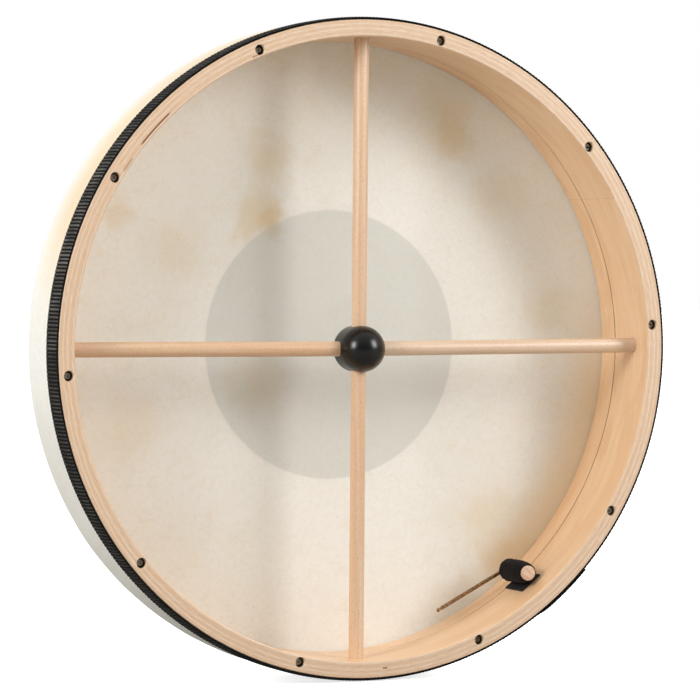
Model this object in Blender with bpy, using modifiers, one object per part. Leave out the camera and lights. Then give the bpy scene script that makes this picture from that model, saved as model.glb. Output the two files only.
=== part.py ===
"""A tunable bodhran: a frame drum with a goatskin head, held by a cross of wooden bars.

Units are metres and +Z is up. The drum stands on edge with its axis along Y, its open
back towards -Y and its skin towards +Y. The origin is the point where the bars cross,
which is where a hand holds the drum. A depth is a distance from the plane of the open
rim towards the skin, and an angle is turned from +X towards +Z.
"""

import math

import bmesh
import bpy

GAP = 0.0003  # between pieces that touch
ROUND_STEPS = 60  # facets of the hoops, a multiple of the number of screws
SMALL_STEPS = 12  # facets of screws, inserts and dowels
SHARP_ANGLE = math.radians(35)

# Hoop: an outer shell with two rings inside it, one fixed and one that slides
HOOP_RADIUS = 0.2250
HOOP_INNER_RADIUS = 0.2139
SHELL_THICKNESS = 0.0022
SHELL_LENGTH = 0.0600
SEAM_DEPTH = 0.0489  # middle of the joint between the two rings
SEAM_WIDTH = 0.0006
EDGE_EASING = 0.0010
RING_OUTER_RADIUS = HOOP_RADIUS - SHELL_THICKNESS - GAP
TUNING_RING_RADIUS = RING_OUTER_RADIUS - 0.0002

# Skin, stretched over the tuning ring and down the side of the shell
SKIN_DEPTH = 0.0715  # its inner face
SKIN_THICKNESS = 0.0007
SKIN_CORNER = 0.0033  # inner radius where it bends over the tuning ring
SKIN_LIP_DEPTH = SHELL_LENGTH  # where the part that moves with the ring ends
SKIN_EDGE_DEPTH = 0.0010
SKIN_SIDE_RADIUS = HOOP_RADIUS + GAP
PATCH_RADIUS = 0.0946
PATCH_THICKNESS = 0.0008
PATCH_CENTRE = (0.0, 0.0018)  # glued on by hand, a little above the middle

# Webbing round the open edge, one strip whose end laps over its start
WEBBING_RADIUS = SKIN_SIDE_RADIUS + SKIN_THICKNESS + GAP
WEBBING_THICKNESS = 0.0010
WEBBING_DEPTH = 0.0004
WEBBING_WIDTH = 0.0200
WEBBING_START = math.radians(-53)
WEBBING_LAP = math.radians(10)
WEBBING_RAMP = math.radians(3)
WEBBING_STEP = math.radians(3)

# Cross bars and the hub
BAR_DEPTH = 0.0220
BAR_RADIUS = 0.0052
SOCKET_RADIUS = 0.0056
SOCKET_REACH = 0.2189  # from the drum's axis to the flat bottom of a bar's socket
HUB_RADIUS = 0.0160
HUB_NOSE_DEPTH = 0.0005
HUB_BACK_DEPTH = 0.0316
HUB_BACK_ROUNDING = 0.0025
HUB_STEPS = 24

# Ten set screws, M5, each in its threaded insert
SCREW_COUNT = 10
SCREW_CIRCLE_RADIUS = 0.2184
SCREW_PHASE = math.radians(4.4)
SCREW_RADIUS = 0.00235
SCREW_START_DEPTH = 0.0038
SCREW_CHAMFER = 0.0005
SOCKET_FLATS = 0.0025
SOCKET_DEPTH = 0.0025
INSERT_RADIUS = 0.0031
INSERT_BORE_RADIUS = 0.00265
INSERT_DEPTH = 0.0030
INSERT_LENGTH = 0.0120
BORE_RADIUS = INSERT_RADIUS + GAP
SCREW_HOLE_RADIUS = 0.0029

# Tuning key, stuck to a hook-and-loop pad on the inner wall
KEY_AXIS_RADIUS = 0.20335
KEY_AXIS_ANGLE = math.radians(-51.0)
HANDLE_START_DEPTH = 0.0140
HANDLE_END_DEPTH = 0.0465
HANDLE_CORE_RADIUS = 0.00525
FELT_START_DEPTH = 0.0157
FELT_RADIUS = 0.00825
FELT_ROUNDING = 0.0016
HANDLE_STEPS = 20
KEY_FLATS = 0.0025
KEY_LONG_ARM = 0.0610
KEY_SHORT_ARM = 0.0160
KEY_BEND_RADIUS = 0.0050
KEY_ARM_DEPTH = 0.0510
KEY_ARM_ANGLE = math.radians(207.4)
KEY_HOLE_RADIUS = 0.0018
PAD_FACE_RADIUS = 0.21195  # distance of its inner face from the drum's axis
PAD_THICKNESS = 0.0010
PAD_WIDTH = 0.0180
PAD_ANGLE = math.radians(-51.1)
PAD_START_DEPTH = 0.0220

# Colours as red, green, blue, then roughness and metallic
FINISHES = {
    "plywood": ((0.70, 0.51, 0.33), 0.50, 0.0),
    "beech": ((0.72, 0.48, 0.28), 0.45, 0.0),
    "goatskin": ((0.78, 0.71, 0.59), 0.60, 0.0),
    "webbing": ((0.035, 0.032, 0.030), 0.85, 0.0),
    "black_lacquer": ((0.015, 0.015, 0.015), 0.28, 0.0),
    "felt": ((0.020, 0.018, 0.017), 0.95, 0.0),
    "dark_steel": ((0.25, 0.24, 0.22), 0.40, 1.0),
    "chrome": ((0.75, 0.74, 0.72), 0.15, 1.0),
}


def clear_scene():
    for item in list(bpy.data.objects):
        bpy.data.objects.remove(item)


def new_collection(name):
    collection = bpy.data.collections.new(name)
    bpy.context.scene.collection.children.link(collection)
    return collection


def material_for(node, finish):
    """A Principled material of the node's own, in one of the named finishes."""
    colour, roughness, metallic = FINISHES[finish]
    material = bpy.data.materials.new(node)
    material.use_nodes = True
    shader = material.node_tree.nodes["Principled BSDF"]
    shader.inputs["Base Color"].default_value = (*colour, 1.0)
    shader.inputs["Roughness"].default_value = roughness
    shader.inputs["Metallic"].default_value = metallic
    return material


def on_circle(radius, angle):
    """The X and Z of a point at that distance and angle round the drum's axis."""
    return radius * math.cos(angle), radius * math.sin(angle)


def arc(centre, radius, start, end, points):
    """Points on an arc in the plane of radius and depth, angles in degrees."""
    angles = [start + (end - start) * i / (points - 1) for i in range(points)]
    return [
        (
            centre[0] + radius * math.cos(math.radians(a)),
            centre[1] + radius * math.sin(math.radians(a)),
        )
        for a in angles
    ]


def add_object(name, data, collection, finish=None):
    """A new object whose local +Z is the direction of depth, with depth 0 at the rim."""
    item = bpy.data.objects.new(name, data)
    item.location = (0, -BAR_DEPTH, 0)
    item.rotation_euler = (-math.pi / 2, 0, 0)
    collection.objects.link(item)
    if finish:
        data.materials.append(material_for(name, finish))
    return item


def freeze(item):
    """Replaces the object's mesh and modifiers by their result, smooth but for its edges."""
    bpy.context.view_layer.update()
    evaluated = item.evaluated_get(bpy.context.evaluated_depsgraph_get())
    mesh = bpy.data.meshes.new_from_object(evaluated)
    item.modifiers.clear()
    item.data = mesh
    mesh.shade_smooth()
    mesh.set_sharp_from_angle(angle=SHARP_ANGLE)


def turned(name, outline, collection, finish=None, axis_at=(0, 0), steps=ROUND_STEPS):
    """A body turned about a line along Y through axis_at, its X and Z.

    The outline is a list of (radius, depth) points that runs down the outer side, from
    the skin end to the rim end. It closes on itself unless both its ends are on the axis.
    """
    mesh = bpy.data.meshes.new(name)
    shape = bmesh.new()
    corners = [shape.verts.new((radius, 0, depth)) for radius, depth in outline]
    for first, second in zip(corners, corners[1:]):
        shape.edges.new((first, second))
    if outline[0][0] > 0:
        shape.edges.new((corners[-1], corners[0]))
    shape.to_mesh(mesh)
    shape.free()
    item = add_object(name, mesh, collection, finish)
    item.location.x, item.location.z = axis_at
    turn = item.modifiers.new("turn", "SCREW")
    turn.steps = steps
    turn.render_steps = steps
    turn.use_merge_vertices = True
    turn.merge_threshold = 0.00005
    freeze(item)
    return item


def cut(item, cutters):
    """Takes every object of the cutters' collection out of the item."""
    boolean = item.modifiers.new("cut", "BOOLEAN")
    boolean.operation = "DIFFERENCE"
    boolean.operand_type = "COLLECTION"
    boolean.solver = "EXACT"
    boolean.collection = cutters
    freeze(item)


def as_cutter(item):
    item.hide_render = True
    item.display_type = "WIRE"
    return item


def make_outer_shell(parts):
    inner = HOOP_RADIUS - SHELL_THICKNESS
    outline = [
        (inner, SHELL_LENGTH),
        (HOOP_RADIUS - EDGE_EASING, SHELL_LENGTH),
        (HOOP_RADIUS, SHELL_LENGTH - EDGE_EASING),
        (HOOP_RADIUS, EDGE_EASING / 2),
        (HOOP_RADIUS - EDGE_EASING / 2, 0),
        (inner, 0),
    ]
    turned("outer_shell", outline, parts, "plywood")


def make_screw_ring(parts, hole_cutters, bar_cutters):
    end = SEAM_DEPTH - SEAM_WIDTH / 2
    outline = [
        (HOOP_INNER_RADIUS, end),
        (RING_OUTER_RADIUS, end),
        (RING_OUTER_RADIUS, 0),
        (HOOP_INNER_RADIUS + EDGE_EASING, 0),
        (HOOP_INNER_RADIUS, EDGE_EASING),
    ]
    ring = turned("screw_ring", outline, parts, "plywood")
    cut(ring, hole_cutters)
    cut(ring, bar_cutters)


def bend_centre():
    """Radius and depth of the centre of the skin's bend over the tuning ring."""
    return TUNING_RING_RADIUS + GAP - SKIN_CORNER, SKIN_DEPTH - SKIN_CORNER


def make_tuning_ring(parts):
    """Its bearing edge is chamfered inside and rounded outside, clear of the skin."""
    start = SEAM_DEPTH + SEAM_WIDTH / 2
    top = SKIN_DEPTH - GAP
    outline = [
        (HOOP_INNER_RADIUS, top - 0.0035),
        (HOOP_INNER_RADIUS + 0.0028, top),
        *arc(bend_centre(), SKIN_CORNER - GAP, 90, 0, 4),
        (TUNING_RING_RADIUS, start),
        (HOOP_INNER_RADIUS, start),
    ]
    turned("tuning_ring", outline, parts, "plywood")


def make_drumhead(parts):
    """The flat skin, its bend over the ring and its slope down to the shell's edge."""
    centre = bend_centre()
    across, along = centre[0] - SKIN_SIDE_RADIUS, centre[1] - SKIN_LIP_DEPTH
    slope = math.atan2(along, across) - math.asin(SKIN_CORNER / math.hypot(across, along))
    bend_end = math.degrees(slope) - 90
    outer_corner = arc(centre, SKIN_CORNER + SKIN_THICKNESS, 90, bend_end, 5)
    inner_corner = arc(centre, SKIN_CORNER, bend_end, 90, 5)
    outline = [
        (0, SKIN_DEPTH + SKIN_THICKNESS),
        *outer_corner,
        (SKIN_SIDE_RADIUS + SKIN_THICKNESS, SKIN_LIP_DEPTH),
        (SKIN_SIDE_RADIUS, SKIN_LIP_DEPTH),
        *inner_corner,
        (0, SKIN_DEPTH),
    ]
    turned("drumhead", outline, parts, "goatskin")


def make_drumhead_skirt(parts):
    """The same hide where it is glued to the side of the shell."""
    top = SKIN_LIP_DEPTH - GAP
    outline = [
        (SKIN_SIDE_RADIUS, top),
        (SKIN_SIDE_RADIUS + SKIN_THICKNESS, top),
        (SKIN_SIDE_RADIUS + SKIN_THICKNESS, SKIN_EDGE_DEPTH),
        (SKIN_SIDE_RADIUS, SKIN_EDGE_DEPTH),
    ]
    turned("drumhead_skirt", outline, parts, "goatskin")


def make_centre_patch(parts):
    start = SKIN_DEPTH + SKIN_THICKNESS + GAP
    outline = [
        (0, start + PATCH_THICKNESS),
        (PATCH_RADIUS - PATCH_THICKNESS / 2, start + PATCH_THICKNESS),
        (PATCH_RADIUS, start + PATCH_THICKNESS / 2),
        (PATCH_RADIUS, start),
        (0, start),
    ]
    turned("centre_patch", outline, parts, "goatskin", PATCH_CENTRE)


def webbing_radius(turned_by):
    """Inner radius of the strip after it has gone that far round, climbing over its start."""
    climb = (turned_by - 2 * math.pi + WEBBING_RAMP) / WEBBING_RAMP
    climb = min(max(climb, 0), 1)
    return WEBBING_RADIUS + climb * (WEBBING_THICKNESS + GAP)


def make_edge_webbing(parts):
    """A strip as wide as the tape, wound round once and lapped, then given its thickness."""
    mesh = bpy.data.meshes.new("edge_webbing")
    shape = bmesh.new()
    whole = 2 * math.pi + WEBBING_LAP
    steps = round(whole / WEBBING_STEP)
    previous = None
    for i in range(steps + 1):
        turned_by = whole * i / steps
        x, z = on_circle(webbing_radius(turned_by), WEBBING_START + turned_by)
        near = shape.verts.new((x, -z, WEBBING_DEPTH))
        far = shape.verts.new((x, -z, WEBBING_DEPTH + WEBBING_WIDTH))
        if previous:
            shape.faces.new((previous[0], previous[1], far, near))
        previous = (near, far)
    bmesh.ops.recalc_face_normals(shape, faces=shape.faces)
    shape.to_mesh(mesh)
    shape.free()
    strip = add_object("edge_webbing", mesh, parts, "webbing")
    outward = mesh.polygons[0].normal.dot(mesh.polygons[0].center) > 0
    solidify = strip.modifiers.new("thickness", "SOLIDIFY")
    solidify.thickness = WEBBING_THICKNESS
    solidify.offset = 1 if outward else -1
    freeze(strip)


def add_dowel(name, start, end, radius, direction, collection, finish=None):
    """A round rod along X or Z through the hub's centre line, between two distances."""
    bpy.ops.mesh.primitive_cylinder_add(
        vertices=SMALL_STEPS,
        radius=radius,
        depth=end - start,
        location=(0, 0, (start + end) / 2),
    )
    rod = bpy.context.active_object
    rod.name = name
    rod.data.name = name
    for owner in list(rod.users_collection):
        owner.objects.unlink(rod)
    collection.objects.link(rod)
    if direction == "X":
        rod.location = ((start + end) / 2, 0, 0)
        rod.rotation_euler = (0, math.pi / 2, 0)
    if finish:
        rod.data.materials.append(material_for(name, finish))
    rod.data.shade_smooth()
    rod.data.set_sharp_from_angle(angle=SHARP_ANGLE)
    return rod


def make_bars(parts):
    reach = SOCKET_REACH - GAP
    inner = BAR_RADIUS + 2 * GAP
    add_dowel("vertical_bar", -reach, reach, BAR_RADIUS, "Z", parts, "beech")
    add_dowel("left_bar", -reach, -inner, BAR_RADIUS, "X", parts, "beech")
    add_dowel("right_bar", inner, reach, BAR_RADIUS, "X", parts, "beech")


def make_bar_cutters():
    cutters = new_collection("bar_cutters")
    for direction in ("X", "Z"):
        name = "bar_cutter_" + direction.lower()
        rod = add_dowel(name, -SOCKET_REACH, SOCKET_REACH, SOCKET_RADIUS, direction, cutters)
        as_cutter(rod)
    return cutters


def make_grip_hub(parts, bar_cutters):
    """A half ball towards the player, on a short cylinder with a rounded back edge."""
    centre = (0, HUB_NOSE_DEPTH + HUB_RADIUS)
    nose = arc(centre, HUB_RADIUS, 0, -90, 8)
    nose[-1] = (0, HUB_NOSE_DEPTH)
    outline = [
        (0, HUB_BACK_DEPTH),
        (HUB_RADIUS - HUB_BACK_ROUNDING, HUB_BACK_DEPTH),
        (HUB_RADIUS - 0.3 * HUB_BACK_ROUNDING, HUB_BACK_DEPTH - 0.3 * HUB_BACK_ROUNDING),
        (HUB_RADIUS, HUB_BACK_DEPTH - HUB_BACK_ROUNDING),
        *nose,
    ]
    hub = turned("grip_hub", outline, parts, "black_lacquer", steps=HUB_STEPS)
    cut(hub, bar_cutters)


def screw_places():
    """The X and Z of each tuning screw, with its number in two digits."""
    for i in range(SCREW_COUNT):
        angle = SCREW_PHASE + i * 2 * math.pi / SCREW_COUNT
        yield f"{i + 1:02d}", on_circle(SCREW_CIRCLE_RADIUS, angle)


def make_screw_hole_cutters():
    """A stepped hole for each screw: wide to the end of the insert, then narrow."""
    cutters = new_collection("screw_hole_cutters")
    step = INSERT_DEPTH + INSERT_LENGTH + GAP
    past = 0.002
    outline = [
        (0, SEAM_DEPTH + past),
        (SCREW_HOLE_RADIUS, SEAM_DEPTH + past),
        (SCREW_HOLE_RADIUS, step),
        (BORE_RADIUS, step),
        (BORE_RADIUS, -past),
        (0, -past),
    ]
    for number, place in screw_places():
        hole = turned("hole_" + number, outline, cutters, axis_at=place, steps=SMALL_STEPS)
        as_cutter(hole)
    return cutters


def make_threaded_inserts(parts):
    end = INSERT_DEPTH + INSERT_LENGTH
    outline = [
        (INSERT_BORE_RADIUS, end),
        (INSERT_RADIUS, end),
        (INSERT_RADIUS, INSERT_DEPTH),
        (INSERT_BORE_RADIUS, INSERT_DEPTH),
    ]
    for number, place in screw_places():
        name = "threaded_insert_" + number
        turned(name, outline, parts, "dark_steel", axis_at=place, steps=SMALL_STEPS)


def make_hexagon_cutter(name, place, collection):
    """A six-sided bar that cuts the socket in the end of a screw."""
    mesh = bpy.data.meshes.new(name)
    shape = bmesh.new()
    bmesh.ops.create_cone(
        shape,
        cap_ends=True,
        segments=6,
        radius1=SOCKET_FLATS / math.sqrt(3),
        radius2=SOCKET_FLATS / math.sqrt(3),
        depth=2 * SOCKET_DEPTH,
    )
    bmesh.ops.translate(shape, verts=shape.verts, vec=(0, 0, SCREW_START_DEPTH))
    shape.to_mesh(mesh)
    shape.free()
    cutter = add_object(name, mesh, collection)
    cutter.location.x, cutter.location.z = place
    return as_cutter(cutter)


def make_tuning_screws(parts):
    end = SEAM_DEPTH + SEAM_WIDTH / 2 - GAP
    outline = [
        (0, end),
        (SCREW_RADIUS - 2 * SCREW_CHAMFER, end),
        (SCREW_RADIUS, end - 2 * SCREW_CHAMFER),
        (SCREW_RADIUS, SCREW_START_DEPTH + SCREW_CHAMFER),
        (SCREW_RADIUS - SCREW_CHAMFER, SCREW_START_DEPTH),
        (0, SCREW_START_DEPTH),
    ]
    for number, place in screw_places():
        cutters = new_collection("socket_cutter_" + number)
        make_hexagon_cutter("socket_" + number, place, cutters)
        name = "tuning_screw_" + number
        screw = turned(name, outline, parts, "dark_steel", axis_at=place, steps=SMALL_STEPS)
        cut(screw, cutters)


def make_key_pad(parts):
    """A flat pad on the inner wall, its face square to the radius through its middle."""
    length = SEAM_DEPTH - SEAM_WIDTH - PAD_START_DEPTH
    shape = bmesh.new()
    bmesh.ops.create_cube(shape, size=1)
    bmesh.ops.scale(shape, verts=shape.verts, vec=(PAD_THICKNESS, length, PAD_WIDTH))
    mesh = bpy.data.meshes.new("key_pad")
    shape.to_mesh(mesh)
    shape.free()
    pad = add_object("key_pad", mesh, parts, "felt")
    x, z = on_circle(PAD_FACE_RADIUS + PAD_THICKNESS / 2, PAD_ANGLE)
    pad.location = (x, PAD_START_DEPTH + length / 2 - BAR_DEPTH, z)
    pad.rotation_euler = (0, -PAD_ANGLE, 0)
    bevel = pad.modifiers.new("edges", "BEVEL")
    bevel.width = 0.0003
    bevel.segments = 1
    freeze(pad)


def make_handle_core(parts, place):
    """A short dowel with a blind hole for the key's short arm."""
    hole_end = KEY_ARM_DEPTH - KEY_SHORT_ARM - GAP
    easing = EDGE_EASING / 2
    outline = [
        (0, hole_end),
        (KEY_HOLE_RADIUS, hole_end),
        (KEY_HOLE_RADIUS, HANDLE_END_DEPTH - GAP),
        (HANDLE_CORE_RADIUS, HANDLE_END_DEPTH - GAP),
        (HANDLE_CORE_RADIUS, HANDLE_START_DEPTH + easing),
        (HANDLE_CORE_RADIUS - easing, HANDLE_START_DEPTH),
        (0, HANDLE_START_DEPTH),
    ]
    return turned("key_handle_core", outline, parts, "beech", place, HANDLE_STEPS)


def make_handle_felt(parts, place):
    """A felt sleeve round the core, rounded at its two ends."""
    inner = HANDLE_CORE_RADIUS + GAP
    start = FELT_START_DEPTH
    outline = [
        (inner, HANDLE_END_DEPTH),
        (FELT_RADIUS - FELT_ROUNDING, HANDLE_END_DEPTH),
        (FELT_RADIUS, HANDLE_END_DEPTH - FELT_ROUNDING),
        (FELT_RADIUS, start + FELT_ROUNDING / 2),
        (FELT_RADIUS - FELT_ROUNDING / 2, start),
        (inner, start),
    ]
    return turned("key_handle_felt", outline, parts, "felt", place, HANDLE_STEPS)


def key_path():
    """The key's centre line in depth coordinates, from inside the handle to the ball end."""
    along_x, along_z = on_circle(1, KEY_ARM_ANGLE)
    bend_start = KEY_ARM_DEPTH - KEY_BEND_RADIUS
    points = [(0, KEY_ARM_DEPTH - KEY_SHORT_ARM)]
    for i in range(7):
        turn = math.radians(15 * i)
        points.append(
            (
                KEY_BEND_RADIUS * (1 - math.cos(turn)),
                bend_start + KEY_BEND_RADIUS * math.sin(turn),
            )
        )
    ball_radius = KEY_FLATS / 2
    for back in (3.2, 2.6, 2.0, 1.4, 0.5):
        points.append((KEY_LONG_ARM - back * ball_radius, KEY_ARM_DEPTH))
    points.append((KEY_LONG_ARM, KEY_ARM_DEPTH))
    return [(reach * along_x, -reach * along_z, depth) for reach, depth in points]


def make_hex_key(parts, place):
    """A six-sided rod bent to an L, with a neck and a ball at the end of its long arm."""
    points = key_path()
    curve = bpy.data.curves.new("hex_key", "CURVE")
    curve.dimensions = "3D"
    curve.bevel_depth = KEY_FLATS / math.sqrt(3)
    curve.bevel_resolution = 1
    curve.use_fill_caps = True
    spline = curve.splines.new("POLY")
    spline.points.add(len(points) - 1)
    end_widths = (1.0, 0.72, 0.72, 1.0, 0.9, 0.45)
    widths = [1.0] * (len(points) - len(end_widths)) + list(end_widths)
    for point, place_on_path, width in zip(spline.points, points, widths):
        point.co = (*place_on_path, 1)
        point.radius = width
    key = add_object("hex_key", curve, parts, "chrome")
    key.location.x, key.location.z = place
    return key


def make_tuning_key(parts):
    """The key's three pieces, all carried by an empty on the handle's axis."""
    place = on_circle(KEY_AXIS_RADIUS, KEY_AXIS_ANGLE)
    carrier = bpy.data.objects.new("tuning_key", None)
    carrier.location = (place[0], 0, place[1])
    parts.objects.link(carrier)
    bpy.context.view_layer.update()
    for make in (make_handle_core, make_handle_felt, make_hex_key):
        piece = make(parts, place)
        piece.parent = carrier
        piece.matrix_parent_inverse = carrier.matrix_world.inverted()


def main():
    clear_scene()
    parts = new_collection("bodhran")
    bar_cutters = make_bar_cutters()
    hole_cutters = make_screw_hole_cutters()
    make_outer_shell(parts)
    make_screw_ring(parts, hole_cutters, bar_cutters)
    make_tuning_ring(parts)
    make_drumhead(parts)
    make_drumhead_skirt(parts)
    make_centre_patch(parts)
    make_edge_webbing(parts)
    make_bars(parts)
    make_grip_hub(parts, bar_cutters)
    make_threaded_inserts(parts)
    make_tuning_screws(parts)
    make_key_pad(parts)
    make_tuning_key(parts)


main()
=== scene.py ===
"""The looks of the bodhran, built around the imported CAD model.

Everything is in metres in the CAD model's frame: the drum's axis is Y, its open back
faces -Y and its skin +Y. A depth is a distance from the plane of the open rim towards
the skin, and an angle is turned from +X towards +Z.
"""

import math
from math import cos, radians, sin

import bmesh
import bpy
from mathutils import Matrix, Vector


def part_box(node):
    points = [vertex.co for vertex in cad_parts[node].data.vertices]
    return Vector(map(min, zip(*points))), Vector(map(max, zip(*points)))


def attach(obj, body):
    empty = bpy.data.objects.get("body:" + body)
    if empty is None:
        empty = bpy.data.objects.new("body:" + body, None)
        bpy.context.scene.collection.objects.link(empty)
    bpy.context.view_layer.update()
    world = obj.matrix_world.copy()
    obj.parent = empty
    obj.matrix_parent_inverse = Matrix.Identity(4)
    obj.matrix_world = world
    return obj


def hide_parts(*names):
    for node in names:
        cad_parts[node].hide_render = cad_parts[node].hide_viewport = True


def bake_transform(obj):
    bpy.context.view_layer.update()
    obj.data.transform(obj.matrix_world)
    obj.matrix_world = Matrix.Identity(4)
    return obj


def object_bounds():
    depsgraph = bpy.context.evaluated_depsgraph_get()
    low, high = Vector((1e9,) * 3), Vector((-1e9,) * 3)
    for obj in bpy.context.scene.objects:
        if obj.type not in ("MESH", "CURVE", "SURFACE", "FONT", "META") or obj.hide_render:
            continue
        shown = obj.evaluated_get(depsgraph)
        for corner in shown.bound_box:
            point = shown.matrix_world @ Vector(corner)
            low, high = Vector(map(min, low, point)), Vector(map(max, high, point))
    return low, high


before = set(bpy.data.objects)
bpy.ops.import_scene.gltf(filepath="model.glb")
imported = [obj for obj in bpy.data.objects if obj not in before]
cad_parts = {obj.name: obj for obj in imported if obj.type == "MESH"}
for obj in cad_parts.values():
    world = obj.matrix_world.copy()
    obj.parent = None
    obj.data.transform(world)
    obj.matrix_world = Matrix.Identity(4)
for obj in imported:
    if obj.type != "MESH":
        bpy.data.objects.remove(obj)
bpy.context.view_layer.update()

TURN = 2 * math.pi
SHARP = radians(32)


def node_radii(node):
    """Smallest and largest distance of a CAD node's corners from the drum's axis."""
    corners = [v.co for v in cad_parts[node].data.vertices]
    distances = [math.hypot(co.x, co.z) for co in corners]
    return min(distances), max(distances)


def node_depths(node):
    """Where a CAD node starts and ends, as depths from the rim plane."""
    low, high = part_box(node)
    return low.y - RIM_Y, high.y - RIM_Y


def node_centre(node):
    low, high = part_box(node)
    return (low + high) / 2


def node_axis(node):
    """X and Z of the line along Y through a CAD node's middle."""
    centre = node_centre(node)
    return centre.x, centre.z


def half_width(node):
    """Half a CAD node's size along X, which is the radius of a round one."""
    low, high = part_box(node)
    return (high.x - low.x) / 2


RIM_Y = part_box("screw_ring")[0].y
HOOP_INNER = node_radii("screw_ring")[0]
SHELL_INNER, HOOP_RADIUS = node_radii("outer_shell")
SHELL_END = node_depths("outer_shell")[1]
SEAM_START = node_depths("screw_ring")[1]
SEAM_END, RING_TOP = node_depths("tuning_ring")
TUNING_OUTER = node_radii("tuning_ring")[1]
SKIN_INNER, SKIN_OUTER = node_radii("drumhead_skirt")
SKIN_EDGE = node_depths("drumhead_skirt")[0]
LIP_DEPTH, SKIN_TOP = node_depths("drumhead")
SKIN_THICKNESS = SKIN_OUTER - SKIN_INNER
PATCH_MIDDLE = node_centre("centre_patch")
PATCH_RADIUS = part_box("centre_patch")[1].x - PATCH_MIDDLE.x
PATCH_START, PATCH_END = node_depths("centre_patch")
WEBBING_INNER = node_radii("edge_webbing")[0]
WEBBING_START, WEBBING_END = node_depths("edge_webbing")
BAR_RADIUS = half_width("vertical_bar")
SEAM_EASING = 0.00015
HOOP_STEPS = 360  # corners round the rings and the skin
KEY_FLATS = 0.0025  # across the hexagon of the key and of the screws' sockets
SCARF_ANGLE = radians(29.7)  # where the hoop's veneer is joined
BROWNER_SIDE_ANGLE = 2.32  # the middle of the browner side of the hide
LIT_RIBS_ANGLE = radians(162)  # the middle of the webbing's left side, where the painted highlight on the ribs is brightest
SCREWS = sorted(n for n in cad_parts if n.startswith("tuning_screw"))


# ---- mesh building


def new_object(name, data):
    item = bpy.data.objects.new(name, data)
    bpy.context.scene.collection.objects.link(item)
    return item


def close_up(name, shape, sharp=SHARP):
    """Turns a bmesh of closed bodies into an object, faces out and smooth but for edges."""
    bmesh.ops.recalc_face_normals(shape, faces=shape.faces)
    mesh = bpy.data.meshes.new(name)
    shape.to_mesh(mesh)
    shape.free()
    mesh.shade_smooth()
    mesh.set_sharp_from_angle(angle=sharp)
    return new_object(name, mesh)


def add_faces(shape, rings):
    """Faces from each ring of corners to the next."""
    for first, second in zip(rings, rings[1:]):
        for i in range(len(first)):
            j = (i + 1) % len(first)
            shape.faces.new((first[i], first[j], second[j], second[i]))


def add_ends(shape, rings):
    """Faces that close a body at its first and last ring."""
    shape.faces.new(rings[0])
    shape.faces.new(rings[-1][::-1])


def lathe(name, profile, steps, centre=(0, 0), offset=None, axis="Y", sharp=SHARP):
    """A body turned about a line along the axis, through centre.

    The profile is a list of (radius, distance along the axis) points. It is closed
    unless it starts and ends on the axis. offset(angle, index) moves a point outwards.
    """
    place = {
        "X": lambda u, v, along: (along, centre[0] + u, centre[1] + v),
        "Y": lambda u, v, along: (centre[0] + u, along, centre[1] + v),
        "Z": lambda u, v, along: (centre[0] + u, centre[1] + v, along),
    }[axis]
    shape = bmesh.new()
    on_axis = profile[0][0] == 0
    tips = [shape.verts.new(place(0, 0, profile[i][1])) for i in (0, -1)] if on_axis else []
    inside = profile[1:-1] if on_axis else profile
    rings = []
    for index, (radius, along) in enumerate(inside):
        ring = []
        for step in range(steps):
            angle = TURN * step / steps
            reach = radius + (offset(angle, index) if offset else 0)
            corner = place(reach * cos(angle), reach * sin(angle), along)
            ring.append(shape.verts.new(corner))
        rings.append(ring)
    add_faces(shape, rings if on_axis else rings + rings[:1])
    for tip, ring in zip(tips, (rings[0], rings[-1])):
        for i in range(steps):
            shape.faces.new((tip, ring[i], ring[(i + 1) % steps]))
    return close_up(name, shape, sharp)


def arc(centre, radius, start, end, count):
    """Points on an arc in the plane of radius and distance along, angles in degrees."""
    points = []
    for i in range(count):
        angle = radians(start + (end - start) * i / (count - 1))
        points.append((centre[0] + radius * cos(angle), centre[1] + radius * sin(angle)))
    return points


def eased(points, radii, count=4, hold=0.00012):
    """Rounds the corners of a closed outline and adds a point beside each rounding.

    radii has a rounding radius for each corner, or 0 for a sharp one. The points beside
    a rounding keep the flats next to it flat when they are shaded smooth.
    """
    result = []
    total = len(points)
    for i, (corner, radius) in enumerate(zip(points, radii)):
        here = Vector(corner)
        if radius == 0:
            result.append(tuple(here))
            continue
        before = (Vector(points[i - 1]) - here).normalized()
        after = (Vector(points[(i + 1) % total]) - here).normalized()
        half = before.angle(after) / 2
        back = radius / math.tan(half)
        middle = here + (before + after).normalized() * (radius / sin(half))
        first = here + before * back - middle
        last = here + after * back - middle
        result.append(tuple(here + before * (back + hold)))
        for k in range(count):
            share = k / (count - 1)
            spoke = first.lerp(last, share).normalized() * radius
            result.append(tuple(middle + spoke))
        result.append(tuple(here + after * (back + hold)))
    return result


def boolean(item, cutter):
    """Cuts the cutter out of the item, applies the result and removes the cutter."""
    modifier = item.modifiers.new("cut", "BOOLEAN")
    modifier.operation = "DIFFERENCE"
    modifier.solver = "EXACT"
    modifier.object = cutter
    bpy.context.view_layer.update()
    evaluated = item.evaluated_get(bpy.context.evaluated_depsgraph_get())
    mesh = bpy.data.meshes.new_from_object(evaluated)
    item.modifiers.clear()
    item.data = mesh
    bpy.data.objects.remove(cutter)
    mesh.shade_smooth()
    mesh.set_sharp_from_angle(angle=SHARP)


def joined(name, items):
    """One object made of several, each kept as a body of its own."""
    shape = bmesh.new()
    for item in items:
        shape.from_mesh(item.data)
        bpy.data.objects.remove(item)
    return close_up(name, shape)


def at_depth(profile):
    """A profile of (radius, depth) points as (radius, Y) points."""
    return [(radius, depth + RIM_Y) for radius, depth in profile]


# ---- material building


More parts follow.
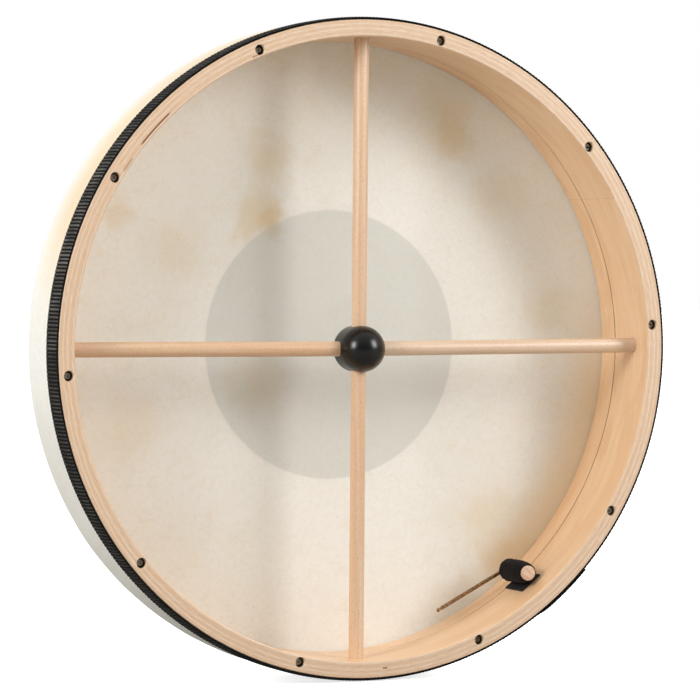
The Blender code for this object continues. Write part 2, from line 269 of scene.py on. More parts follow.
class Nodes:
    """Short calls for the nodes of one tree, fed by plain values or other nodes' outputs."""

    def __init__(self, tree):
        self.tree = tree

    def node(self, kind, *values):
        """A new node, its inputs fed in order."""
        node = self.tree.nodes.new("ShaderNode" + kind)
        for socket, value in zip(node.inputs, values):
            self.feed(socket, value)
        return node

    def feed(self, socket, value):
        """Links a node's output to an input, or sets the input to a plain value."""
        if isinstance(value, bpy.types.NodeSocket):
            self.tree.links.new(value, socket)
        else:
            socket.default_value = value

    def tint(self, socket, value):
        """Feeds a colour: a node's output, or three display values from 0 to 255."""
        self.feed(socket, (*srgb(*value), 1.0) if isinstance(value, tuple) else value)

    def math(self, operation, *values):
        node = self.node("Math", *values)
        node.operation = operation
        return node.outputs[0]

    def times(self, first, second):
        return self.math("MULTIPLY", first, second)

    def plus(self, first, second):
        return self.math("ADD", first, second)

    def minus(self, first, second):
        return self.math("SUBTRACT", first, second)

    def away(self, value, middle):
        """How far a value is from the middle, on either side of it."""
        return self.math("ABSOLUTE", self.minus(value, middle))

    def split(self, vector):
        return self.node("SeparateXYZ", vector).outputs

    def join(self, x, y, z):
        return self.node("CombineXYZ", x, y, z).outputs[0]

    def scaled(self, vector, x, y, z):
        node = self.node("VectorMath", vector, (x, y, z))
        node.operation = "MULTIPLY"
        return node.outputs[0]

    def length(self, vector):
        node = self.node("VectorMath", vector)
        node.operation = "LENGTH"
        return node.outputs["Value"]

    def step(self, value, low, high, start=0.0, end=1.0):
        """start where value is below low, end where it is above high, smooth between."""
        node = self.node("MapRange", value, low, high, start, end)
        node.interpolation_type = "SMOOTHSTEP"
        return node.outputs[0]


class Paint(Nodes):
    """A Principled material and short calls for the textures that feed it."""

    def __init__(self, name, **constants):
        self.material = bpy.data.materials.new(name)
        self.material.use_nodes = True
        super().__init__(self.material.node_tree)
        self.shader = self.tree.nodes["Principled BSDF"]
        for socket, value in constants.items():
            self.shader.inputs[socket.replace("_", " ")].default_value = value
        self.point = self.node("TexCoord").outputs["Object"]

    def noise(self, vector, scale, detail=2.0, rough=0.5, distort=0.0, w=None):
        node = self.node("TexNoise", vector)
        if w is not None:
            node.noise_dimensions = "4D"
            self.feed(node.inputs["W"], w)
        settings = {"Scale": scale, "Detail": detail, "Roughness": rough, "Distortion": distort}
        for socket, value in settings.items():
            node.inputs[socket].default_value = value
        return node.outputs["Fac"]

    def spots(self, vector, scale):
        """Distance to the nearest of many scattered points."""
        node = self.node("TexVoronoi", vector)
        node.inputs["Scale"].default_value = scale
        return node.outputs["Distance"]

    def ramp(self, value, stops):
        node = self.node("ValToRGB", value)
        elements = node.color_ramp.elements
        while len(elements) < len(stops):
            elements.new(0.5)
        for element, (position, colour) in zip(elements, stops):
            element.position = position
            element.color = (*srgb(*colour), 1.0)
        return node.outputs[0]

    def mix(self, share, first, second):
        node = self.node("Mix", share)
        node.data_type = "RGBA"
        self.tint(node.inputs[6], first)
        self.tint(node.inputs[7], second)
        return node.outputs[2]

    def polar(self):
        """Works out a point's distance from the drum's axis, angle, depth and direction."""
        x, y, z = self.split(self.point)
        squares = self.plus(self.times(x, x), self.times(z, z))
        self.radius = self.math("SQRT", squares)
        self.angle = self.math("ARCTAN2", z, x)
        self.depth = self.minus(y, RIM_Y)
        self.across = self.math("DIVIDE", x, self.radius)
        self.up = self.math("DIVIDE", z, self.radius)

    def around(self, along_circle, third=0.0):
        """A point for noise that is stretched round the drum and has no seam."""
        across = self.times(self.across, along_circle)
        return self.join(across, self.times(self.up, along_circle), third)

    def colour(self, value):
        self.tint(self.shader.inputs["Base Color"], value)

    def roughness(self, value):
        self.feed(self.shader.inputs["Roughness"], value)

    def bump(self, height, distance, strength=1.0):
        node = self.node("Bump")
        node.inputs["Strength"].default_value = strength
        node.inputs["Distance"].default_value = distance
        self.feed(node.inputs["Height"], height)
        self.feed(self.shader.inputs["Normal"], node.outputs[0])


def srgb(red, green, blue):
    """A colour given as 0 to 255 display values, as linear values."""
    return tuple(
        (c / 255 / 12.92) if c / 255 <= 0.04045 else ((c / 255 + 0.055) / 1.055) ** 2.4
        for c in (red, green, blue)
    )


# ---- materials


# Plies across the rim, from its inner edge (0) to its outer edge (1)
PLY_LIGHT = (234, 217, 197)
PLY_PEACH = (223, 192, 161)
PLY_TAN = (217, 180, 144)
PLIES = (
    (0.00, PLY_TAN), (0.06, PLY_PEACH), (0.10, PLY_PEACH),
    (0.12, PLY_LIGHT), (0.14, PLY_LIGHT), (0.16, PLY_PEACH),
    (0.28, PLY_TAN), (0.43, PLY_PEACH), (0.46, PLY_LIGHT),
    (0.48, PLY_LIGHT), (0.51, PLY_PEACH), (0.62, PLY_TAN),
    (0.71, PLY_PEACH), (0.735, PLY_LIGHT), (0.755, PLY_LIGHT),
    (0.78, PLY_PEACH), (0.88, PLY_TAN), (1.00, PLY_PEACH),
)


def veneer_colour(paint):
    """Plain beech veneer, its grain running round the drum, its streaks and its flecks."""
    fine = paint.around(5.0, paint.times(paint.depth, 520.0))
    streaks = paint.noise(fine, 1.0, detail=5.0, rough=0.62, w=paint.times(paint.radius, 300.0))
    wide = paint.around(2.6, paint.times(paint.depth, 46.0))
    broad = paint.noise(wide, 1.0, detail=3.0, distort=1.2)
    short = paint.around(70.0, paint.times(paint.depth, 1500.0))
    flecks = paint.step(paint.noise(short, 1.0, detail=1.0), 0.62, 0.74)
    veneer = paint.mix(paint.step(streaks, 0.3, 0.7), (231, 191, 148), (240, 206, 168))
    veneer = paint.mix(paint.step(broad, 0.44, 0.60, 0.0, 0.6), veneer, (228, 184, 138))
    veneer = paint.mix(paint.times(flecks, 0.20), veneer, (186, 136, 94))
    scarf = paint.away(paint.angle, SCARF_ANGLE)
    scarf = paint.step(scarf, 0.0008, 0.0030, 0.2, 0.0)
    return paint.mix(scarf, veneer, (172, 122, 82)), streaks, flecks


def ply_colour(paint):
    """The cut edges of the plies: thin rings, streaked along their length."""
    drift = paint.noise(paint.around(9.0), 1.0, detail=3.0)
    layer = paint.plus(paint.radius, paint.math("MULTIPLY_ADD", drift, 0.0010, -0.0005))
    share = paint.math("DIVIDE", paint.minus(layer, HOOP_INNER), HOOP_RADIUS - HOOP_INNER)
    plies = paint.ramp(share, PLIES)
    strength = paint.step(paint.noise(paint.around(4.0), 1.0), 0.3, 0.7, 0.35, 0.0)
    plies = paint.mix(strength, plies, PLY_PEACH)
    for stretch, tight, low, high, amount, tone in (
        (26.0, 5200.0, 0.42, 0.62, 0.50, (208, 166, 126)),
        (34.0, 5200.0, 0.50, 0.66, 0.50, (240, 226, 210)),
        (120.0, 3600.0, 0.64, 0.74, 0.55, (176, 124, 82)),
        (230.0, 5200.0, 0.68, 0.76, 0.60, (140, 92, 58)),
    ):
        marks = paint.noise(paint.around(stretch), 1.0, w=paint.times(paint.radius, tight))
        plies = paint.mix(paint.step(marks, low, high, 0.0, amount), plies, tone)
    return paint.mix(void_mask(paint), plies, (108, 58, 26))


def plywood_material():
    """Beech plywood: plain veneer on its faces, thin rings of plies where it is cut, painted shade with
    some dirt in the seam and a painted highlight on the walls of the screw holes.
    """
    paint = Paint(
        "beech_plywood", Roughness=0.36, Specular_IOR_Level=0.5, Coat_Weight=0.2, Coat_Roughness=0.3
    )
    paint.polar()
    veneer, streaks, flecks = veneer_colour(paint)
    plies = ply_colour(paint)
    inside = paint.step(paint.radius, HOOP_INNER + 0.00006, HOOP_INNER + 0.0004)
    wood = paint.mix(inside, veneer, plies)
    # Painted shade with some dirt: the faces inside the seam between the two rings are painted dark
    # brown.
    near_seam = paint.away(paint.depth, (SEAM_START + SEAM_END) / 2)
    seam_shade_and_dirt = paint.times(paint.step(near_seam, 0.0008, 0.0016, 0.9, 0.0), inside)
    wood = paint.mix(seam_shade_and_dirt, wood, (104, 62, 40))
    # Painted highlight: the sides cut into the wood beyond its inner face, the walls of the screw
    # holes, are painted pale as if lit by a lamp.
    normal = paint.node("NewGeometry").outputs["True Normal"]
    upright = paint.math("ABSOLUTE", paint.split(normal)[1])
    beyond = paint.step(paint.radius, HOOP_INNER + 0.0008, HOOP_INNER + 0.0009)
    hole = paint.times(paint.step(upright, 0.25, 0.45, 1.0, 0.0), beyond)
    paint.colour(paint.mix(hole, wood, (252, 230, 202)))
    paint.roughness(paint.step(streaks, 0.2, 0.8, 0.30, 0.42))
    height = paint.plus(paint.times(streaks, 0.5), paint.times(flecks, -0.6))
    paint.bump(height, 0.00012, 0.25)
    return paint.material


# Gaps in the plies: middle and half length in degrees, radius and strength
VOIDS = (
    (137.0, 4.3, 0.2164, 0.92),
    (145.2, 1.6, 0.2158, 0.45),
    (113.2, 1.3, 0.2157, 0.60),
    (-87.0, 0.5, 0.2188, 0.80),
)


def void_mask(paint):
    """Small dark gaps in the plies, each along part of a ring."""
    total = None
    for middle, half_length, ring, strength in VOIDS:
        along = paint.away(paint.angle, radians(middle))
        beside = paint.away(paint.radius, ring)
        ends = radians(half_length)
        mask = paint.times(
            paint.step(along, ends * 0.75, ends, 1.0, 0.0),
            paint.step(beside, 0.00034, 0.00078, strength, 0.0),
        )
        total = mask if total is None else paint.math("MAXIMUM", total, mask)
    return total


def stretched(axis, lengthways, across):
    """Scales for a noise drawn out along the axis."""
    return tuple(lengthways if name == axis else across for name in "XYZ")


def beech_material(name, axis, dark, light):
    """Beech cut along the grain, with the short dark flecks of its rays."""
    paint = Paint(name, Roughness=0.34, Specular_IOR_Level=0.5, Coat_Weight=0.55, Coat_Roughness=0.28)
    fine = paint.scaled(paint.point, *stretched(axis, 9, 420))
    streaks = paint.noise(fine, 1.0, detail=4.0, rough=0.6)
    broad = paint.noise(paint.scaled(paint.point, *stretched(axis, 3, 90)), 1.0, detail=2.0)
    flecks = paint.noise(paint.scaled(paint.point, *stretched(axis, 620, 2600)), 1.0, detail=1.0)
    flecks = paint.step(flecks, 0.60, 0.72)
    wood = paint.mix(paint.step(streaks, 0.3, 0.7), dark, light)
    wood = paint.mix(paint.step(broad, 0.40, 0.66, 0.0, 0.5), wood, dark)
    wood = paint.mix(paint.times(flecks, 0.42), wood, (150, 102, 66))
    paint.colour(wood)
    paint.roughness(paint.step(streaks, 0.2, 0.8, 0.34, 0.5))
    height = paint.minus(streaks, flecks)
    paint.bump(height, 0.0001, 0.25)
    return paint.material


def end_grain_material():
    """The cut end of a dowel: fine slanting growth rings and pores."""
    paint = Paint("beech_end_grain", Roughness=0.6, Specular_IOR_Level=0.3)
    x, y, z = paint.split(paint.point)
    over = paint.math("MULTIPLY_ADD", x, 0.62, paint.times(z, 0.78))
    along = paint.math("MULTIPLY_ADD", x, 0.78, paint.times(z, -0.62))
    slant = paint.join(paint.times(over, 1500), paint.times(along, 130), paint.times(y, 100))
    rings = paint.noise(slant, 1.0, detail=3.0, rough=0.6)
    pores = paint.step(paint.spots(paint.point, 3600.0), 0.10, 0.30, 1.0, 0.0)
    wood = paint.mix(paint.step(rings, 0.32, 0.68), (196, 158, 130), (226, 198, 174))
    paint.colour(paint.mix(paint.times(pores, 0.3), wood, (168, 126, 96)))
    paint.bump(rings, 0.00006, 0.4)
    return paint.material


def stain_and_shadow_blot(paint, x, z, at_x, at_z, reach, rough_edge):
    """A soft blot on the skin, its edge broken up by a noise."""
    along = paint.minus(x, at_x)
    across = paint.minus(z, at_z)
    squares = paint.plus(paint.times(along, along), paint.times(across, across))
    distance = paint.plus(paint.math("SQRT", squares), rough_edge)
    return paint.step(distance, 0.0, reach, 1.0, 0.0)


# Blots in the hide, some real stains and some painted shadow, those in the vertical bar's shadow, the
# hub's shadow and the hoop's shadow at the top and right: X, Z, reach (metres) and strength
STAINS_AND_SHADOWS = (
    (-0.046, 0.133, 0.030, 0.42), (-0.058, 0.092, 0.024, 0.50),
    (-0.043, 0.085, 0.014, 0.62), (-0.118, 0.068, 0.034, 0.30),
    (-0.158, 0.094, 0.016, 0.36), (0.095, 0.147, 0.024, 0.60),
    (0.082, 0.158, 0.040, 0.26), (0.130, 0.108, 0.030, 0.26),
    (0.166, 0.026, 0.026, 0.22), (-0.150, -0.058, 0.034, 0.26),
    (-0.056, -0.026, 0.034, 0.52), (0.138, -0.152, 0.032, 0.48),
    (0.120, -0.122, 0.040, 0.30),
)


def ring_shade_and_tan(paint):
    """Painted shade and tan: a band beside the ring, low on the right, where the hoop's shadow falls on
    the hide.
    """
    near_ring = paint.step(paint.radius, 0.176, 0.212)
    low = paint.step(paint.angle, radians(-62), radians(-38))
    high = paint.step(paint.angle, radians(-14), radians(14), 1.0, 0.0)
    return paint.times(near_ring, paint.times(low, high))


def goatskin_material(name, paint_patch_shade=True):
    """Dry goat hide: cream, softly mottled, a little translucent, with stains and painted shade."""
    paint = Paint(
        name,
        Roughness=0.55,
        Specular_IOR_Level=0.35,
        Subsurface_Weight=0.18,
        Subsurface_Scale=0.004,
        Subsurface_Radius=(1.0, 0.75, 0.5),
    )
    x, _, z = paint.split(paint.point)
    cloud = paint.noise(paint.point, 9.0, detail=4.0, rough=0.55)
    patches = paint.noise(paint.point, 24.0, detail=3.0, rough=0.6, distort=0.6)
    fine = paint.noise(paint.point, 300.0, detail=4.0, rough=0.75)
    blotches = paint.noise(paint.point, 62.0, detail=5.0, rough=0.6, distort=0.5)
    veins = paint.noise(paint.point, 38.0, detail=5.0, rough=0.6, distort=2.2)
    rough_edge = paint.plus(paint.times(patches, 0.05), paint.times(blotches, 0.02))
    rough_edge = paint.minus(rough_edge, 0.035)
    skin = paint.mix(paint.step(cloud, 0.32, 0.68), (233, 230, 221), (239, 237, 229))
    skin = paint.mix(paint.step(patches, 0.50, 0.78, 0.0, 0.30), skin, (230, 220, 198))
    # Stains and painted shadow: tan blots, some of them laid where the bar, the hub and the hoop shade
    # the hide.
    for at_x, at_z, reach, strength in STAINS_AND_SHADOWS:
        blot = stain_and_shadow_blot(paint, x, z, at_x, at_z, reach, rough_edge)
        skin = paint.mix(paint.times(blot, strength), skin, (216, 188, 144))
    skin = paint.mix(paint.step(blotches, 0.56, 0.76, 0.0, 0.22), skin, (220, 198, 162))
    ridge = paint.away(veins, 0.5)
    skin = paint.mix(paint.step(ridge, 0.0, 0.014, 0.16, 0.0), skin, (206, 184, 150))
    paint.polar()
    # Painted shade: the band beside the ring, low on the right, is tinted tan as the hoop's shadow.
    tan = paint.times(ring_shade_and_tan(paint), 0.56)
    skin = paint.mix(tan, skin, (224, 188, 138))
    # The side of the hide is painted browner towards the upper left, most near the webbing.
    brown_side_share = paint.step(paint.away(paint.angle, BROWNER_SIDE_ANGLE), 0.35, 0.85, 0.85, 0.0)
    on_side = paint.step(paint.depth, 0.030, 0.0712, 1.0, 0.0)
    skin = paint.mix(paint.times(brown_side_share, on_side), skin, (222, 198, 160))
    specks = paint.step(paint.spots(paint.point, 120.0), 0.02, 0.09, 1.0, 0.0)
    rare = paint.step(paint.noise(paint.point, 47.0, detail=0.0), 0.60, 0.70)
    specks = paint.times(paint.times(specks, rare), 0.35)
    skin = paint.mix(specks, skin, (164, 126, 80))
    skin = paint.mix(paint.step(fine, 0.40, 0.70, 0.0, 0.17), skin, (214, 202, 182))
    # Painted shade: a grey disc behind the patch, where the patch on the outside blocks the light
    # coming through the hide.
    if paint_patch_shade:
        across, up = paint.minus(x, PATCH_MIDDLE.x), paint.minus(z, PATCH_MIDDLE.z)
        from_middle = paint.length(paint.join(across, up, 0.0))
        shade_behind_patch = paint.step(from_middle, PATCH_RADIUS - 0.0012, PATCH_RADIUS + 0.0006, 1.0, 0.0)
        skin = paint.mix(paint.times(shade_behind_patch, 0.40), skin, (194, 194, 182))
    paint.colour(skin)
    paint.roughness(paint.step(patches, 0.3, 0.8, 0.5, 0.66))
    height = paint.plus(paint.times(fine, 0.6), paint.times(patches, 0.8))
    paint.bump(height, 0.0002, 0.3)
    return paint.material


def webbing_material():
    """Black ribbed cotton, black between the ribs, with a painted grey highlight on top of them that is
    mottled by wear.
    """
    paint = Paint("black_webbing", Roughness=0.9, Specular_IOR_Level=0.12)
    paint.polar()
    rib = paint.node("Attribute")
    rib.attribute_name = "rib"
    threads = paint.math("SINE", paint.times(paint.depth, TURN / 0.00042))
    fuzz = paint.noise(paint.point, 900.0, detail=3.0, rough=0.7)
    worn = paint.noise(paint.point, 60.0, detail=2.0)
    # Painted highlight: the tops of the ribs are painted grey, brightest on the left side, where the
    # side lamp grazes them.
    top = paint.mix(paint.step(worn, 0.3, 0.7), (70, 68, 64), (112, 110, 105))
    lit_side_share = paint.away(paint.angle, LIT_RIBS_ANGLE)
    lit_side_share = paint.step(lit_side_share, radians(8), radians(26), 1.0, 0.45)
    ribbed = paint.times(paint.step(rib.outputs["Fac"], 0.55, 0.95), lit_side_share)
    cloth = paint.mix(ribbed, (13, 12, 11), top)
    cloth = paint.mix(paint.step(fuzz, 0.45, 0.75, 0.0, 0.35), cloth, (30, 28, 26))
    paint.colour(cloth)
    height = paint.plus(paint.times(threads, 0.3), fuzz)
    paint.bump(height, 0.00015, 0.5)
    return paint.material


def lacquer_material():
    """Black lacquer, glossy, with a faint unevenness."""
    paint = Paint("black_lacquer", Roughness=0.24, Specular_IOR_Level=0.48)
    wave = paint.noise(paint.point, 90.0, detail=2.0)
    dust = paint.step(paint.noise(paint.point, 1500.0, detail=2.0), 0.62, 0.80)
    tone = paint.mix(paint.step(wave, 0.3, 0.7), (3, 3, 3), (6, 5, 5))
    paint.colour(paint.mix(paint.times(dust, 0.2), tone, (40, 38, 36)))
    paint.roughness(paint.step(wave, 0.3, 0.7, 0.22, 0.27))
    paint.bump(wave, 0.0002, 0.12)
    return paint.material


def steel_material(name, dark, light, roughness):
    """Turned steel with fine marks and a trace of oil."""
    paint = Paint(name, Roughness=roughness, Metallic=1.0)
    marks = paint.noise(paint.scaled(paint.point, 2600, 500, 2600), 1.0, detail=3.0, rough=0.7)
    stains = paint.noise(paint.point, 700.0, detail=3.0)
    metal = paint.mix(paint.step(stains, 0.35, 0.7), light, dark)
    paint.colour(paint.mix(paint.step(marks, 0.5, 0.8, 0.0, 0.4), metal, dark))
    paint.roughness(paint.step(marks, 0.3, 0.8, roughness * 0.7, roughness * 1.5))
    paint.bump(marks, 0.00003, 0.3)
    return paint.material


def felt_material():
    """Black felt with grey loose fibres."""
    paint = Paint(
        "black_felt", Roughness=0.95, Specular_IOR_Level=0.15, Sheen_Weight=0.06, Sheen_Roughness=0.5
    )
    fibres = paint.noise(paint.point, 1600.0, detail=4.0, rough=0.8, distort=1.5)
    clumps = paint.noise(paint.point, 420.0, detail=3.0)
    felt = paint.mix(paint.step(clumps, 0.35, 0.7), (14, 12, 11), (26, 22, 20))
    felt = paint.mix(paint.step(fibres, 0.58, 0.75, 0.0, 0.5), felt, (62, 55, 50))
    paint.colour(felt)
    paint.bump(fibres, 0.0004, 0.7)
    return paint.material


def hook_material():
    """Black nylon hook tape."""
    paint = Paint("black_hook_tape", Roughness=0.5, Specular_IOR_Level=0.4)
    grains = paint.noise(paint.point, 1300.0, detail=2.0)
    paint.colour(paint.mix(paint.step(grains, 0.35, 0.7), (14, 14, 14), (38, 37, 36)))
    paint.bump(grains, 0.0002, 0.4)
    return paint.material


def floor_material():
    """A studio floor that the camera sees as white and the drum is lit by as grey."""
    paint = Paint("pale_floor", Roughness=0.8, Specular_IOR_Level=0.1)
    path = paint.node("LightPath").outputs["Is Camera Ray"]
    cloud = paint.noise(paint.point, 1.5, detail=2.0)
    seen = paint.mix(cloud, (246, 246, 245), (250, 250, 249))
    paint.colour(paint.mix(path, (158, 156, 152), seen))
    paint.feed(paint.shader.inputs["Emission Strength"], paint.times(path, FLOOR_GLOW))
    paint.shader.inputs["Emission Color"].default_value = (1, 1, 1, 1)
    return paint.material


# ---- the hoop


def show(item, material, body, replaced):
    """Gives a finished piece its material, its CAD body and the node it stands for."""
    item.data.materials.clear()
    item.data.materials.append(material)
    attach(item, body)
    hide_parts(replaced)


def wooden_ring(name, inner, outer, start, end, radii, **rounding):
    """A ring between two radii and two depths, its four corners rounded by those radii."""
    corners = [(inner, start), (outer, start), (outer, end), (inner, end)]
    return lathe(name, at_depth(eased(corners, radii, **rounding)), HOOP_STEPS)


def make_outer_shell(plywood):
    radii = (0.0, 0.0006, 0.001, 0.0003)
    shell = wooden_ring("plywood_shell", SHELL_INNER, HOOP_RADIUS, 0.0, SHELL_END, radii)
    show(shell, plywood, "hoop", "outer_shell")


# The cross bars, each from its own stick of beech, the right one painted lighter as a highlight: node,
# axis, lean in degrees, dark, light
BARS = (
    ("vertical_bar", "Z", 0.2, (220, 180, 144), (232, 202, 171)),
    ("left_bar", "X", 0.0, (212, 171, 134), (224, 190, 156)),
    ("right_bar", "X", -0.5, (216, 184, 154), (230, 207, 182)),
)


def bar_ends(node, axis):
    """Where a bar starts and ends along its axis."""
    low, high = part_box(node)
    return (low.z, high.z) if axis == "Z" else (low.x, high.x)


def rod_cutter(radius, start, end, axis):
    """A plain round rod through the drum's middle line, along the axis."""
    profile = [(0, start), (radius, start), (radius, end), (0, end)]
    return lathe("rod", profile, 64, axis=axis)


def leaning(item, degrees):
    """Turns a bar or the cutter of its socket a little about the drum's axis."""
    item.data.transform(Matrix.Rotation(radians(degrees), 4, "Y"))
    return item


def screw_hole_cutter(screw):
    """A stepped hole with a small countersink, for one screw and its insert."""
    insert = screw.replace("tuning_screw", "threaded_insert")
    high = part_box(insert)[1]
    bore = half_width(insert) + 0.0005
    narrow = bore - 0.0007
    end = high.y + 0.0003
    past = 0.001
    profile = [
        (0, RIM_Y - past), (bore + 0.0002 + past, RIM_Y - past),
        (bore + 0.0002, RIM_Y), (bore, RIM_Y + 0.0002),
        (bore, end), (narrow, end),
        (narrow, RIM_Y + SEAM_START + past), (0, RIM_Y + SEAM_START + past),
    ]
    return lathe("hole", profile, 40, centre=node_axis(insert))


SOCKET_GAP = 0.0003  # past each end of a bar


def make_screw_ring(plywood):
    end = SEAM_START - SEAM_EASING
    sizes = (HOOP_INNER, SHELL_INNER, 0.0, end, (0.0011, 0.0, 0.0, 0.00012))
    ring = wooden_ring("plywood_screw_ring", *sizes, count=6, hold=0.00005)
    boolean(ring, joined("holes", [screw_hole_cutter(s) for s in SCREWS]))
    socket = BAR_RADIUS + 0.00015
    for node, axis, lean, *_ in BARS:
        start, end = bar_ends(node, axis)
        rod = rod_cutter(socket, start - SOCKET_GAP, end + SOCKET_GAP, axis)
        boolean(ring, leaning(rod, lean))
    show(ring, plywood, "hoop", "screw_ring")


def make_tuning_ring(plywood):
    start = SEAM_END + SEAM_EASING
    sizes = (HOOP_INNER, TUNING_OUTER, start, RING_TOP, (0.00012, 0.0003, 0.0030, 0.0030))
    ring = wooden_ring("plywood_tuning_ring", *sizes, count=8, hold=0.00005)
    show(ring, plywood, "tuning_ring", "tuning_ring")


# ---- the skin


SKIN_BEND = 0.0033  # inner radius where the hide bends over the tuning ring
SHORT_EDGE = 0.0035  # how far the hide stops short of the CAD skirt's edge
WAVE_HEIGHT = 0.00016


def skin_wave(angle):
    """How far the dried hide stands off the shell at that angle, in folds of its own."""
    return WAVE_HEIGHT * (
        sin(7 * angle + 0.6) + 0.8 * sin(13 * angle + 2.1) + 0.6 * sin(29 * angle)
    )


def make_drumhead(goatskin):
    """The whole hide as one piece: flat front, bend over the ring, and side to its cut edge."""
    inner_face = SKIN_TOP - SKIN_THICKNESS
    centre = (TUNING_OUTER + 0.0003 - SKIN_BEND, inner_face - SKIN_BEND)
    across, along = centre[0] - SKIN_INNER, centre[1] - SHELL_END
    slope = math.atan2(along, across) - math.asin(SKIN_BEND / math.hypot(across, along))
    bend_end = math.degrees(slope) - 90
    outside = arc(centre, SKIN_BEND + SKIN_THICKNESS, 90, bend_end, 12)
    inside = arc(centre, SKIN_BEND, bend_end, 90, 8)
    flat = [centre[0] * i / 24 for i in range(1, 24)]
    cut = SKIN_EDGE + SHORT_EDGE
    top = SHELL_END - 0.0012
    side = [top - (top - cut) * i / 22 for i in range(23)]
    fold = [(0.0002, SHELL_END + 0.0008), (0.00006, SHELL_END)]
    profile = [(0, SKIN_TOP)] + [(r, SKIN_TOP) for r in flat] + outside
    profile += [(SKIN_OUTER - back, depth) for back, depth in fold]
    first_on_side = len(profile)
    profile += [(SKIN_OUTER, depth) for depth in side]
    end_of_outside = len(profile)
    profile += [(SKIN_INNER, depth) for depth in side[::-1]]
    profile += [(SKIN_INNER - back, depth) for back, depth in fold[::-1]]
    profile += inside + [(r, inner_face) for r in flat[::-1]] + [(0, inner_face)]

    def offset(angle, index):
        on_side = first_on_side <= index + 1 < end_of_outside
        return max(0.0, skin_wave(angle) + 0.00022) if on_side else 0.0

    sharp = radians(60)
    skin = lathe("goatskin_drumhead", at_depth(profile), HOOP_STEPS, offset=offset, sharp=sharp)
    skin.data.materials.append(goatskin)
    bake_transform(skin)
    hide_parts("drumhead", "drumhead_skirt")


def make_patch(goatskin):
    profile = [
        (0, PATCH_START - 0.0002), (PATCH_RADIUS, PATCH_START - 0.0002),
        (PATCH_RADIUS, PATCH_START + 0.0002), (PATCH_RADIUS - 0.0004, PATCH_END - 0.0001),
        (PATCH_RADIUS - 0.0012, PATCH_END), (PATCH_RADIUS / 2, PATCH_END),
        (0, PATCH_END),
    ]
    patch = lathe("skin_patch", at_depth(profile), 240, centre=node_axis("centre_patch"))
    show(patch, goatskin, "tuning_ring", "centre_patch")


# ---- the webbing

RIB_PITCH = 0.0026
RIB_HEIGHT = 0.00045
RIB_SHAPE = ((0.0, 0.0), (0.16, 0.22), (0.32, 0.74), (0.5, 1.0), (0.68, 0.74), (0.84, 0.22))
TAPE_THICKNESS = 0.0012
TAPE_START = radians(-53)
TAPE_LAP = radians(10)
TAPE_RAMP = radians(3)


def tape_section():
    """The tape's cross-section: points of (lift off its inner face, distance along, rib share)."""
    width = WEBBING_END - WEBBING_START
    base = TAPE_THICKNESS - RIB_HEIGHT
    section = [(0.0, 0.0003, 0.0), (base * 0.5, -0.0001, 0.3), (base, -0.0001, 0.8)]
    section += [(base, 0.0004, 1.0)]
    for i in range(9):
        section.append((base, 0.0008 + (width - 0.0017) * i / 8, 1.0))
    section += [(base * 0.9, width - 0.0003, 0.7), (base * 0.4, width, 0.3), (0.0, width - 0.0003, 0.0)]
    return section


def make_webbing(material):
    """One ribbed strip wound round the open edge, its end lying over its start."""
    whole = TURN + TAPE_LAP
    ribs = round(whole * WEBBING_INNER / RIB_PITCH)
    section = tape_section()
    shape = bmesh.new()
    layer = shape.verts.layers.float.new("rib")
    rows = []
    for rib in range(ribs):
        depth_of_groove = 0.75 + 0.25 * cos(math.pi * rib)
        for share, height in RIB_SHAPE:
            turned = whole * (rib + share) / ribs
            climb = (turned - TURN + TAPE_RAMP) / TAPE_RAMP
            climb = min(max(climb, 0.0), 1.0)
            climb = climb * climb * (3 - 2 * climb)
            over_start = climb * TAPE_THICKNESS
            raised = 1 - (1 - height) * depth_of_groove
            angle = TAPE_START + turned
            row = []
            for lift, along, ribbed in section:
                pinch = max(0.0, 1 - along / 0.004)
                rest = SKIN_OUTER + 0.0001 - (SKIN_OUTER - HOOP_RADIUS - 0.0003) * pinch
                radius = rest + over_start + lift + RIB_HEIGHT * raised * ribbed
                edge = 0.0002 * (raised - 0.5) * ribbed if along > 0.018 else 0.0
                y = RIM_Y + WEBBING_START + along + edge
                vert = shape.verts.new((radius * cos(angle), y, radius * sin(angle)))
                vert[layer] = raised * ribbed
                row.append(vert)
            rows.append(row)
    add_faces(shape, rows)
    add_ends(shape, rows)
    tape = close_up("ribbed_webbing", shape, radians(50))
    show(tape, material, "hoop", "edge_webbing")


# ---- bars and hub


def make_bars():
    """Three dowels with slightly rounded ends, in their sockets in the screw ring."""
    easing = 0.0006
    for node, axis, lean, dark, light in BARS:
        start, end = bar_ends(node, axis)
        stretch = [start + 0.002 + (end - start - 0.004) * i / 12 for i in range(13)]
        profile = [(0, start), (BAR_RADIUS - easing, start), (BAR_RADIUS, start + easing)]
        profile += [(BAR_RADIUS, s) for s in stretch]
        profile += [(BAR_RADIUS, end - easing), (BAR_RADIUS - easing, end), (0, end)]
        bar = leaning(lathe("beech_" + node, profile, 48, axis=axis), lean)
        beech = beech_material("wood_" + node, axis, dark, light)
        show(bar, beech, "hoop", node)


PAST_HUB = 0.05  # further out than the hub's side


def make_hub(material):
    low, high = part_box("grip_hub")
    radius = high.x
    middle = low.y + radius
    profile = [(0, low.y)]
    profile += arc((0, middle), radius, -90, 0, 30)[1:]
    profile += [(radius, middle + 0.004)]
    profile += arc((radius - 0.0028, high.y - 0.0028), 0.0028, 0, 90, 9)
    profile += [(radius * 0.4, high.y), (0, high.y)]
    hub = lathe("black_grip_hub", profile, 120)
    hole = BAR_RADIUS + 0.00012
    for axis in ("X", "Z"):
        boolean(hub, rod_cutter(hole, -PAST_HUB, PAST_HUB, axis))
    show(hub, material, "hoop", "grip_hub")


# ---- screws


SOCKET_DEPTH = 0.0024


def socket_cutter(node):
    """A six-sided bar with a pointed bottom, for a screw's key socket."""
    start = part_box(node)[0].y
    end = start + SOCKET_DEPTH
    corner = KEY_FLATS / math.sqrt(3)
    profile = [(0, start - 0.002), (corner, start - 0.002), (corner, end), (0, end + corner / 2)]
    return lathe("socket", profile, 6, centre=node_axis(node))


